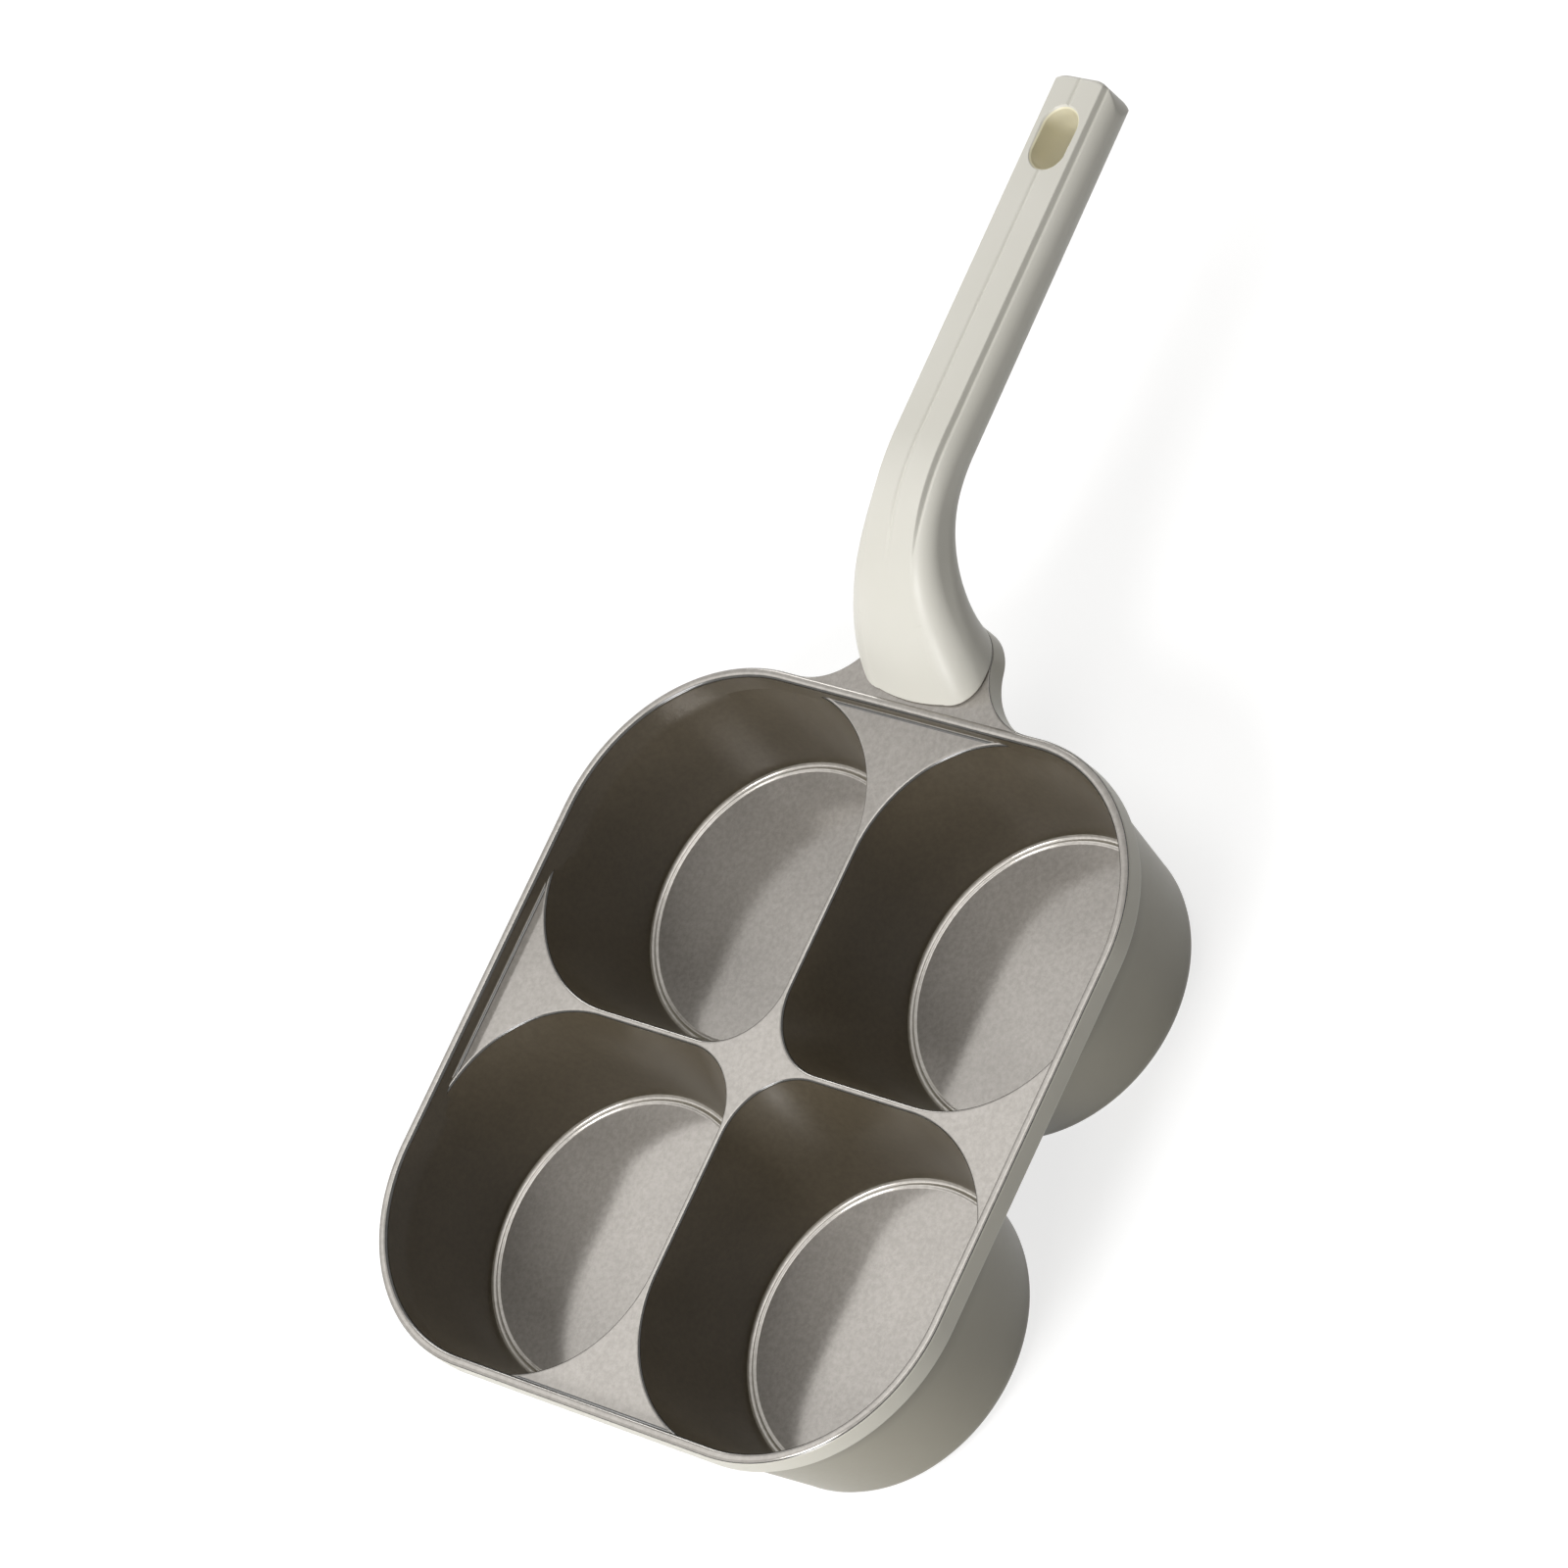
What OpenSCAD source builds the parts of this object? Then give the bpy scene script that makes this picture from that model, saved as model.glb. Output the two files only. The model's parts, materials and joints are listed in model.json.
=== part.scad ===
// Divided frying pan: a cast body with four deep cups under one rim, and a moulded handle
// that is screwed from below to a cast lug. Origin at the middle of the whole outline, at the base.

/* [Pan body] */
// Width of the pan, across the handle's line
pan_w = 200; // [190:1:230]
// Length of the pan along the handle's line, without the lug
pan_l = 209.5; // [200:0.5:240]
// Height of the rim's top above the base
pan_h = 45.6; // [40:0.1:60]
// Outer radius of the pan's four corners
corner_r = 53; // [50:1:56]
// Height of the plain band round the outside
band_h = 7; // [6.5:0.1:10]
// Thickness of the rim wall
rim_t = 3; // [2.6:0.1:4]
// Radius on both top edges of the rim
rim_round = 1.2; // [0.6:0.1:1.2]
// Radius on the band's lower edge
band_round = 0.9; // [0.4:0.1:1]
// Depth of the flat web below the rim's top
web_drop = 4.5; // [3:0.1:5]
// Fillet where the rim's inner wall meets the web
web_fillet = 1; // [0.5:0.1:2]

/* [Cups] */
// Width of the ridge between neighbouring cups, at the web
ridge_w = 2; // [2:0.1:4]
// How far a cup's side wall leans in from its opening to its foot
cup_lean = 4.4; // [3:0.1:8]
// Corner radius of an opening at the middle of the pan
inner_corner_r = 21; // [12:1:30]
// Corner radius of an opening at the middle of each side of the pan
side_corner_r = 40; // [25:1:44]
// Radius that rounds an opening's edge
edge_round = 0.9; // [0.4:0.1:0.9]
// Thickness of a cup's wall
wall_t = 1.6; // [1.5:0.1:1.9]
// Thickness of a cup's floor
floor_t = 2.8; // [2.4:0.1:4]
// Fillet at the foot of a cup's wall, inside
foot_round = 1; // [0.8:0.1:1.4]
// Depth of the groove round a cup's floor
groove_d = 0.6; // [0.3:0.1:0.8]
// Width of the raised bead between a cup's floor and its groove
bead_w = 1.8; // [1.2:0.1:3]
// Height of the bead above the floor
bead_h = 0.4; // [0.2:0.1:0.8]
// Radius that rounds the base of a cup, outside
base_round = 4.5; // [3:0.1:5]

/* [Base discs] */
// Diameter of a steel disc
disc_d = 56; // [44:1:62]
// Thickness of a steel disc, which is also the depth of its recess
disc_t = 0.8; // [0.5:0.1:1]
// Diameter of a disc's perforations
perf_d = 4; // [3:0.1:5]

/* [Lug] */
// Length of the lug beyond the rim
lug_len = 27; // [24:0.5:34]
// Radius of the lug's two outer corners
lug_corner_r = 14; // [12:0.5:15]
// Radius of the hollow flares that join the lug to the rim
flare_r = 22; // [16:1:24]
// Step from the rim's top down to the lug's top
lug_drop = 0.4; // [0.2:0.1:0.6]
// Distance from the rim to the screw's axis
screw_reach = 16.5; // [16:0.1:17]
// Diameter of the boss round the screw hole
boss_d = 12; // [10:0.5:13]
// Height of the boss and key above the lug
boss_h = 4; // [3:0.5:5]
// Length of the key that stops the handle turning
key_l = 24; // [18:1:26]
// Width of the key
key_w = 4; // [3:0.5:5]

/* [Handle] */
// Width of the handle's root
root_w = 42; // [38:0.5:44]
// Corner radius at the front of the root
root_front_r = 9.5; // [4:0.5:10]
// Bow of the root's front face
root_bow = 1.2; // [0:0.1:2]
// Reach of the handle's end beyond the rim
handle_reach = 168.5; // [140:0.5:200]
// Rise of the grip's top above the lug, at the bend
grip_rise = 42.8; // [36:0.1:50]
// Extra rise of the grip from the bend to its end
grip_climb = 2.2; // [0:0.1:8]
// Reach of the bend beyond the rim
bend_reach = 60; // [56:0.5:70]
// Width of the grip
grip_w = 23.8; // [22:0.1:28]
// Thickness of the grip
grip_t = 14.6; // [13:0.1:18]
// Radius of the grip's shoulders
shoulder_r = 5; // [4.5:0.1:6]
// Radius of the grip's lower edges
belly_r = 6.4; // [5:0.1:7]
// Radius of the handle's end, in plan
end_corner_r = 6; // [4:0.1:8]
// Radius that rounds the edges of the handle's end
end_round = 1.6; // [0.8:0.1:2]
// Half the width of the raised panel along the grip's top
panel_half = 8.5; // [7:0.1:9]
// Step from the panel down to the shoulders
panel_step = 1.3; // [0.6:0.1:1.5]
// Depth of the crease along the panel's middle
crease_d = 0.5; // [0.2:0.1:0.8]
// Width of the hang hole
hang_w = 11.5; // [8:0.1:13]
// Length of the hang hole
hang_l = 18.5; // [16:0.1:24]
// Distance from the hang hole's middle to the handle's end
hang_inset = 18.7; // [17:0.1:30]

/* [Fasteners] */
// Thread diameter of the handle screw
screw_d = 5; // [4:0.5:5]
// Length of the screw below its head
screw_l = 20; // [18:1:22]
// Diameter of the screw's head
head_d = 9.5; // [8.5:0.1:10]
// Height of the screw's head
head_h = 3.2; // [2.5:0.1:4]
// Diameter of the flat washer
washer_d = 11; // [10.5:0.1:12]
// Thickness of the flat washer
washer_t = 1; // [0.8:0.1:1.4]
// Outer diameter of the spring washer
spring_d = 9; // [8:0.1:9.4]
// Thickness of the spring washer
spring_t = 1.3; // [1:0.1:1.6]
// Diameter of the threaded insert
insert_d = 8; // [7.5:0.1:9]
// Length of the threaded insert
insert_l = 10; // [9:0.5:11]

/* [Hidden] */
$fn = 96;
small_n = 24;

// One overrun for all cuts, and the clearances of the fits
cut = 1;
fit = 0.05;
slip_fit = 0.3;
screw_slack = 0.25;

// Levels
web_z = pan_h - web_drop;
band_z = pan_h - band_h;
lug_z = pan_h - lug_drop;

// Cups, as distances from a cup's own centre in the quadrant of +X and +Y
cup_half_x = (pan_w / 2 - rim_t - ridge_w / 2) / 2;
cup_half_y = (pan_l / 2 - rim_t - ridge_w / 2) / 2;
cup_x = cup_half_x + ridge_w / 2;
cup_y = cup_half_y + ridge_w / 2;
foot_r = cup_half_x - cup_lean;
rim_trim = edge_round / 2;
cup_n = 80;
arc_n = 3;
edge_n = 2;
bead_n = 4;
perf_pitch = disc_d / 6;
perf_counts = [1, 8, 16];

// Place of the pan's centre and of the rim's edge under the lug
handle_end = pan_l / 2 + handle_reach;
pan_y = (pan_l / 2 - handle_end) / 2;
rim_y = pan_l / 2;
screw_y = rim_y + screw_reach;

// Heights along the screw: the insert above the lug's top, and the seats below the lug
insert_z = boss_h + slip_fit;
spring_z = band_z - washer_t - spring_t;
knurl_n = 16;
knurl_d = insert_d / 10;
neck_share = 0.12;
tip_round = screw_d / 10;
recess_w = head_d / 8;
recess_l = head_d * 0.5;
recess_d = head_h * 0.55;
split_w = spring_t * 0.7;

// Handle curves, as shares of the bend's reach and of the rise
front_y_shares = [0, 0.13, 0.435, 1];
front_z_shares = [0, 0.425, 0.967, 1];
back_y_shares = [0, 0.04, 0.41, 1];
back_z_shares = [0, 0.44, 0.98, 1];
waist_share = 0.85;
groove_shares = [0.5, 0.85];
back_lag = 2;
belly_climb = grip_climb + 0.05 * grip_t;
crease_w = crease_d * 1.4;
crown = crease_d / 2;
step_w = panel_step * 0.3;
seam_round = crease_d * 1.6;
seam_share = 0.012;
bend_n = 26;
grip_n = 3;
end_n = 3;
roll_n = 7;

function mix(a, b, t) = a + (b - a) * t;
function clamp01(t) = min(1, max(0, t));
function ease(t) = clamp01(t) * clamp01(t) * (3 - 2 * clamp01(t));
function bezier(p, t) =
    p[0] * pow(1 - t, 3) + 3 * p[1] * t * pow(1 - t, 2) + 3 * p[2] * t * t * (1 - t) + p[3] * pow(t, 3);

// Distance from a cup's centre to its opening's outline, in direction a, with the outline grown by g
function corner_radius(c, s) =
    c >= 0 && s >= 0 ? corner_r - rim_t + rim_trim : c < 0 && s < 0 ? inner_corner_r : side_corner_r;
function outline_reach(a, g, trim) =
    let (c = cos(a), s = sin(a), u = abs(c), v = abs(s),
         hx = cup_half_x + g + (c >= 0 ? trim : 0),
         hy = cup_half_y + g + (s >= 0 ? trim : 0),
         r = corner_radius(c, s) + g,
         x = hx - r, y = hy - r, k = u * x + v * y)
    hx * v <= y * u ? hx / u :
    hy * u <= x * v ? hy / v :
    k + sqrt(k * k - x * x - y * y + r * r);

// A ring of a cup at height z: share 0 is the opening's outline and share 1 is a circle of radius r
function cup_ring(z, share, g, r, trim) =
    [for (i = [0:cup_n - 1]) let (a = 360 * i / cup_n, d = mix(outline_reach(a, g, trim), r, share))
        [d * cos(a), d * sin(a), z]];

// Closes a stack of rings into one solid
module skin(rings) {
    n = len(rings[0]);
    m = len(rings);
    polyhedron(
        points = [for (ring = rings) each ring],
        faces = concat(
            [[for (i = [0:n - 1]) i]],
            [for (a = [0:n:(m - 2) * n], i = [0:n - 1]) let (k = (i + 1) % n) [a + i, a + n + k, a + k]],
            [for (a = [0:n:(m - 2) * n], i = [0:n - 1]) let (k = (i + 1) % n) [a + i, a + n + i, a + n + k]],
            [[for (i = [n - 1:-1:0]) (m - 1) * n + i]]
        ),
        convexity = 6
    );
}

module rounded_rect(w, l, r) {
    square([w - 2 * r, l], center = true);
    square([w, l - 2 * r], center = true);
    for (x = [-1, 1], y = [-1, 1]) translate([x * (w / 2 - r), y * (l / 2 - r)]) circle(r = r);
}

module at_cups() {
    for (x = [0, 1], y = [0, 1]) mirror([x, 0, 0]) mirror([0, y, 0])
        translate([cup_x, cup_y, 0]) children();
}

// Section of the rim and band, with the outer face at 0 and the pan's inside at minus
module rim_section() {
    translate([-rim_t, band_z + band_round]) square([rim_t, band_h - band_round - rim_round]);
    translate([rim_round - rim_t, band_z + band_round])
        square([rim_t - 2 * rim_round, band_h - band_round]);
    translate([rim_round - rim_t, pan_h - rim_round]) circle(r = rim_round);
    translate([-rim_round, pan_h - rim_round]) circle(r = rim_round);
    translate([-rim_t, band_z]) square([rim_t - band_round, band_h - rim_round]);
    translate([-band_round, band_z + band_round]) circle(r = band_round);
    difference() {
        translate([-rim_t - web_fillet, web_z]) square(web_fillet);
        translate([-rim_t - web_fillet, web_z + web_fillet]) circle(r = web_fillet);
    }
}

module rim_and_band() {
    side_x = pan_w - 2 * corner_r;
    side_y = pan_l - 2 * corner_r;
    for (x = [0, 1], y = [0, 1]) mirror([x, 0, 0]) mirror([0, y, 0])
        translate([side_x / 2, side_y / 2, 0])
            rotate_extrude(angle = 90) translate([corner_r, 0]) rim_section();
    for (x = [0, 1]) mirror([x, 0, 0])
        translate([pan_w / 2, side_y / 2, 0]) rotate([90, 0, 0]) linear_extrude(side_y) rim_section();
    for (y = [0, 1]) mirror([0, y, 0])
        translate([-side_x / 2, pan_l / 2, 0]) rotate([90, 0, 90]) linear_extrude(side_x) rim_section();
}

module web() {
    edge = rim_t / 2;
    translate([0, 0, band_z])
        linear_extrude(web_z - band_z) rounded_rect(pan_w - 2 * edge, pan_l - 2 * edge, corner_r - edge);
}

// Outside of a cup, closed, from inside the web down to the base
module cup_outside() {
    r = foot_r + wall_t;
    skin(concat(
        [for (k = [0:arc_n]) let (a = 90 * k / arc_n)
            cup_ring(base_round * (1 - cos(a)), 1, 0, r - base_round * (1 - sin(a)), 0)],
        [cup_ring((band_z + web_z) / 2, 0, wall_t, r, 0)]
    ));
}

// Inside of a cup: floor, bead, groove, wall and rounded opening, open above the rim
module cup_inside() {
    low = floor_t - groove_d;
    groove_r = foot_r - foot_round;
    bead_r = groove_r - bead_w / 2;
    skin(concat(
        [for (k = [0:bead_n - 1]) let (a = 180 * k / bead_n)
            cup_ring(floor_t + bead_h * sin(a), 1, 0, bead_r - bead_w / 2 * cos(a), 0)],
        [cup_ring(low, 1, 0, groove_r, 0)],
        [for (k = [1:edge_n]) let (a = 90 * k / edge_n)
            cup_ring(low + foot_round * (1 - cos(a)), 1, 0, groove_r + foot_round * sin(a), 0)],
        [for (k = [0:edge_n]) let (a = 90 * k / edge_n)
            cup_ring(web_z - edge_round * (1 - sin(a)), 0, edge_round * (1 - cos(a)), 0, rim_trim)],
        [cup_ring(pan_h + cut, 0, edge_round, 0, rim_trim)]
    ));
}

module rim_space() {
    linear_extrude(pan_h + 2 * cut)
        rounded_rect(pan_w - 2 * rim_t, pan_l - 2 * rim_t, corner_r - rim_t);
}

// Lug in plan: rounded outer corners, and flares tangent to the rim and to those corners
module lug_outline() {
    corner = [root_w / 2 - lug_corner_r, rim_y + lug_len - lug_corner_r];
    reach = lug_corner_r + flare_r;
    flare_y = rim_y + flare_r;
    flare_x = corner[0] + sqrt(reach * reach - pow(flare_y - corner[1], 2));
    touch = corner + ([flare_x, flare_y] - corner) * lug_corner_r / reach;
    for (x = [-1, 1]) translate([x * corner[0], corner[1]]) circle(r = lug_corner_r);
    translate([-corner[0], corner[1]]) square([2 * corner[0], lug_corner_r]);
    difference() {
        polygon([[-flare_x, rim_y - rim_t / 2], [flare_x, rim_y - rim_t / 2], [flare_x, rim_y],
                 touch, [-touch[0], touch[1]], [-flare_x, rim_y]]);
        for (x = [-1, 1]) translate([x * flare_x, flare_y]) circle(r = flare_r);
    }
}

module lug() {
    translate([0, 0, band_z]) linear_extrude(lug_z - band_z) lug_outline();
    translate([0, screw_y, lug_z - cut]) cylinder(d = boss_d, h = boss_h + cut);
    translate([-key_l / 2, screw_y - key_w / 2, lug_z - cut]) cube([key_l, key_w, boss_h + cut]);
}

module pan_body() {
    color("#8f8a80") translate([0, pan_y, 0]) difference() {
        union() {
            rim_and_band();
            web();
            at_cups() cup_outside();
            lug();
        }
        intersection() {
            at_cups() cup_inside();
            rim_space();
        }
        at_cups() translate([0, 0, -cut]) cylinder(d = disc_d + 2 * fit, h = disc_t + cut);
        translate([0, screw_y, band_z - cut])
            cylinder(d = screw_d + 2 * screw_slack, h = band_h + boss_h + 2 * cut);
    }
}

// Perforated disc, flush with the base
module base_disc(x, y) {
    color("#c4c6c8") translate([x * cup_x, pan_y + y * cup_y, 0]) difference() {
        cylinder(d = disc_d, h = disc_t - fit);
        for (ring = [0:len(perf_counts) - 1], i = [0:perf_counts[ring] - 1])
            rotate([0, 0, 360 * i / perf_counts[ring]]) translate([ring * perf_pitch, 0, -cut])
                cylinder(d = perf_d, h = disc_t + 2 * cut, $fn = small_n);
    }
}

// Side view of the handle, as [y, z] from the rim's edge and the lug's top, at station t:
// 0 is the root, 1 is the bend and 2 is the end
function front_line(t) = t <= 1
    ? [slip_fit + bezier(front_y_shares * (bend_reach - slip_fit), t),
       bezier(front_z_shares * grip_rise, t)]
    : [mix(bend_reach, handle_reach, t - 1), grip_rise + grip_climb * (t - 1)];
function back_line(t) = t <= 1
    ? [lug_len + bezier(back_y_shares * (bend_reach + back_lag - lug_len), t),
       bezier(back_z_shares * (grip_rise - grip_t), t)]
    : [mix(bend_reach + back_lag, handle_reach, t - 1), grip_rise - grip_t + belly_climb * (t - 1)];

// Height of a section's plain top at distance x from its middle, over shoulders that end at top
function plain_top(x, half, top, r, bow) =
    x <= half - r ? top + bow * (1 - pow(x / (half - r), 2)) :
    top - r + sqrt(max(0, r * r - pow(x - half + r, 2)));

// Right half of a section, from the top's middle to the bottom's middle, as [x, v]
function half_section(half, h, rt, rb, bow, raised) =
    let (top = h / 2 - panel_step * raised - bow,
         edge = panel_half + step_w,
         start = edge > half - rt ? acos(min(1, (edge - half + rt) / rt)) : 90,
         xs = [0, crease_w, panel_half / 2, panel_half])
    concat(
        [for (x = xs) let (panel_top = h / 2 - crown * pow(x / panel_half, 2))
            [x, mix(plain_top(x, half, top, rt, bow), panel_top, raised) - (x == 0 ? crease_d * raised : 0)]],
        [[edge, plain_top(edge, half, top, rt, bow)]],
        [for (k = [0:roll_n]) let (a = start * (roll_n - k) / (roll_n + 1 / 2))
            [half - rt + rt * cos(a), top - rt + rt * sin(a)]],
        [for (k = [0:roll_n]) let (a = -90 * k / roll_n)
            [half - rb + rb * cos(a), rb - h / 2 + rb * sin(a)]]
    );

// Full section at station t, drawn in by [dx, dv], and moved along the handle by lead
function handle_ring(t, dx, dv, lead) =
    let (f = front_line(t),
         b = back_line(t),
         h = norm(f - b),
         up = (f - b) / h,
         mid = (f + b) / 2 + [lead, 0],
         s = ease(t / waist_share),
         raised = ease((t - groove_shares[0]) / (groove_shares[1] - groove_shares[0])),
         half = mix(root_w, grip_w, s) / 2 - dx,
         rt = max(mix(root_front_r, shoulder_r, s) - dx, shoulder_r / 4),
         rb = max(mix(lug_corner_r, belly_r, s) - dx, belly_r / 4),
         right = half_section(half, h - 2 * dv, rt, rb, root_bow * (1 - s), raised),
         n = len(right),
         flat = concat(right, [for (i = [n - 1:-1:1]) [-right[i][0], right[i][1]]]))
    [for (p = flat) [p[0], mid[0] + up[0] * p[1], mid[1] + up[1] * p[1]]];

module handle_solid() {
    skin(concat(
        [handle_ring(0, seam_round, seam_round, 0)],
        [handle_ring(seam_share, 0, 0, 0)],
        [for (k = [1:bend_n]) handle_ring(k / bend_n, 0, 0, 0)],
        [for (k = [1:grip_n]) handle_ring(1 + k / (grip_n + 1), 0, 0, 0)],
        [for (k = [0:end_n]) let (a = 90 * k / end_n, inset = end_round * (1 - cos(a)))
            handle_ring(2, inset, inset, end_round * (sin(a) - 1))]
    ));
}

// What is cut off the handle's end to round its two corners in plan
module end_corners() {
    for (x = [0, 1]) mirror([x, 0, 0])
        translate([grip_w / 2 - end_corner_r, handle_reach - end_corner_r, 0])
            linear_extrude(grip_rise + grip_climb + cut) difference() {
                square(end_corner_r + cut);
                circle(r = end_corner_r);
            }
}

module hang_hole() {
    h = grip_t + grip_rise + grip_climb;
    run = (hang_l - hang_w) / 2;
    translate([0, handle_reach - hang_inset, 0]) {
        for (y = [-run, run]) translate([0, y, 0]) cylinder(d = hang_w, h = h);
        translate([-hang_w / 2, -run, 0]) cube([hang_w, 2 * run, h]);
    }
}

module handle() {
    color("#ebe8de") translate([0, pan_y + rim_y, lug_z]) difference() {
        handle_solid();
        end_corners();
        hang_hole();
        translate([0, screw_reach, -cut]) {
            cylinder(d = boss_d + 2 * slip_fit, h = insert_z + cut);
            cylinder(d = insert_d + 2 * fit, h = insert_z + insert_l + fit + cut);
        }
        translate([-key_l / 2 - slip_fit, screw_reach - key_w / 2 - slip_fit, -cut])
            cube([key_l + 2 * slip_fit, key_w + 2 * slip_fit, insert_z + cut]);
    }
}

module at_screw(z) {
    translate([0, pan_y + screw_y, z]) children();
}

// Pan-head screw, head down, with a cross recess and a chamfered tip
module handle_screw() {
    color("#b9bcc0") at_screw(spring_z) difference() {
        union() {
            rotate_extrude() intersection() {
                union() {
                    translate([0, -head_h / 2]) square([head_d / 2, head_h / 2]);
                    translate([0, -head_h]) square([(head_d - head_h) / 2, head_h]);
                    translate([(head_d - head_h) / 2, -head_h / 2]) circle(d = head_h);
                }
                translate([0, -head_h]) square([head_d, head_h]);
            }
            cylinder(d = screw_d, h = screw_l - tip_round);
            translate([0, 0, screw_l - tip_round])
                cylinder(d1 = screw_d, d2 = screw_d - 2 * tip_round, h = tip_round);
        }
        for (a = [0, 90]) rotate([0, 0, a])
            translate([-recess_l / 2, -recess_w / 2, -head_h - cut])
                cube([recess_l, recess_w, recess_d + cut]);
    }
}

module flat_washer() {
    color("#c9ccd0") at_screw(band_z - washer_t) difference() {
        cylinder(d = washer_d, h = washer_t);
        translate([0, 0, -cut]) cylinder(d = screw_d + 2 * screw_slack, h = washer_t + 2 * cut);
    }
}

module spring_washer() {
    color("#9da0a4") at_screw(spring_z) difference() {
        cylinder(d = spring_d, h = spring_t);
        translate([0, 0, -cut]) cylinder(d = screw_d + 2 * screw_slack, h = spring_t + 2 * cut);
        translate([0, -split_w / 2, -cut]) cube([spring_d, split_w, spring_t + 2 * cut]);
    }
}

// Brass insert with a waist and two bands of knurling
module threaded_insert() {
    neck = neck_share * insert_l;
    color("#b8904a") at_screw(lug_z + insert_z) difference() {
        cylinder(d = insert_d, h = insert_l);
        translate([0, 0, -cut]) cylinder(d = screw_d + 2 * fit, h = insert_l + 2 * cut);
        translate([0, 0, (insert_l - neck) / 2]) difference() {
            cylinder(d = insert_d + cut, h = neck);
            cylinder(d = insert_d - knurl_d, h = neck);
        }
        for (i = [0:knurl_n - 1]) rotate([0, 0, 360 * i / knurl_n])
            translate([insert_d / 2 + knurl_d / 4, 0, -cut])
                cylinder(d = knurl_d, h = insert_l + 2 * cut, $fn = small_n);
    }
}

pan_body();
base_disc(1, 1);  // base_disc_1
base_disc(-1, 1);  // base_disc_2
base_disc(-1, -1);  // base_disc_3
base_disc(1, -1);  // base_disc_4
handle();
handle_screw();
flat_washer();
spring_washer();
threaded_insert();
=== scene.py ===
import json
import math

import bmesh
import bpy
import numpy as np
from mathutils import Matrix, Vector


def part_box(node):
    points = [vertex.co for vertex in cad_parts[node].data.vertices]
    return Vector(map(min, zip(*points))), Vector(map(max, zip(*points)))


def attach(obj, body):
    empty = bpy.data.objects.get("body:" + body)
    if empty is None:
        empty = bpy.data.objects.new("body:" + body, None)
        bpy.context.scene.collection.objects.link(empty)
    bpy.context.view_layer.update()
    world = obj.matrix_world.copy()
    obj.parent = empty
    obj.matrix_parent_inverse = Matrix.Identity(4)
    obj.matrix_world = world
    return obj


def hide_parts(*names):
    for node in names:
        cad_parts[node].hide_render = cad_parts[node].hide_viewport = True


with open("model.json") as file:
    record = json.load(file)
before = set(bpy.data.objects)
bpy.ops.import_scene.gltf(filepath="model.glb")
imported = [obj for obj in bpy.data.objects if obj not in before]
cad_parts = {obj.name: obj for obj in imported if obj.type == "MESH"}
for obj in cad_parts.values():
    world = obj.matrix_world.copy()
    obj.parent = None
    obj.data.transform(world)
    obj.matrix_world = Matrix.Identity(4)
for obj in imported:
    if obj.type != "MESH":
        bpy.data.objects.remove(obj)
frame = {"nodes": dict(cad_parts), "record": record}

MM = 0.001

# The casting in millimetres, with the sizes of the frame's solid, whose lug and key have sharp edges
PAN_L = 209.5
PAN_H = 45.6
CORNER_R = 53.0
BAND_H = 7.0
RIM_T = 3.0
RIM_ROUND = 1.2
BAND_ROUND = 0.9
WEB_DROP = 4.5
WEB_FILLET = 1.0
RIDGE_W = 2.0
CUP_LEAN = 4.4
INNER_CORNER_R = 21.0
SIDE_CORNER_R = 40.0
EDGE_ROUND = 0.9
WALL_T = 1.6
FLOOR_T = 2.8
FOOT_ROUND = 1.0
GROOVE_D = 0.6
BEAD_W = 1.8
BEAD_H = 0.4
BASE_ROUND = 4.5
DISC_GAP = 0.05
LUG_LEN = 27.0
LUG_CORNER_R = 14.0
LUG_ROUND = 0.7
LUG_DROP = 0.4
FLARE_R = 22.0
SCREW_REACH = 16.5
SCREW_HOLE_D = 5.5
BOSS_D = 12.0
BOSS_H = 4.0
KEY_L = 24.0
KEY_W = 4.0
KEY_CORNER_R = 0.2

# The handle in millimetres. Its end is rounder and its seam deeper than in the frame's solid, which
# has no rounding on the hang hole and no gutter beside the panel
SLIP = 0.3
BORE_D = 8.1
BORE_L = 10.05
ROOT_W = 42.0
ROOT_FRONT_R = 9.5
ROOT_BOW = 1.2
SEAM_IN = 1.1
SEAM_LIP = 0.45
HANDLE_REACH = 168.5
GRIP_RISE = 42.8
GRIP_CLIMB = 2.2
GRIP_W = 23.8
GRIP_T = 14.6
GRIP_TAPER = 0.05 * GRIP_T
SHOULDER_R = 5.0
BELLY_R = 6.4
END_CORNER_R = 7.0
END_ROUND = 1.6
END_BELLY = 3.2
END_RUN = 9.0
PANEL_HALF = 8.5
PANEL_STEP = 1.3
STEP_RUN = 0.35 * PANEL_STEP
STEP_LEAD = 0.2
GUTTER_D = 0.22
GUTTER_W = 0.28
GUTTER_IN = 0.15
CREASE_D = 0.5
CREASE_W = 0.55
HANG_W = 11.5
HANG_L = 18.5
HANG_INSET = 18.7
HANG_ROUND = 0.8

# The handle's two side lines: where each bends, and the Bezier shares of its reach and rise
BEND_REACH = 60.0
BACK_BEND_REACH = BEND_REACH + 2
FRONT_REACH = (0, 0.13, 0.435, 1)
FRONT_RISE = (0, 0.425, 0.967, 1)
BACK_REACH = (0, 0.04, 0.41, 1)
BACK_RISE = (0, 0.44, 0.98, 1)

# Shares of the way to the bend: the seam, the first plain section, where the root's width ends, and
# where the panel starts to rise and how far that takes
SEAM_SHARE = 0.009
PLAIN_SHARE = 0.024
ROOT_SHARE = 0.85
PANEL_SHARE = 0.5
PANEL_RUN = 0.35

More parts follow.
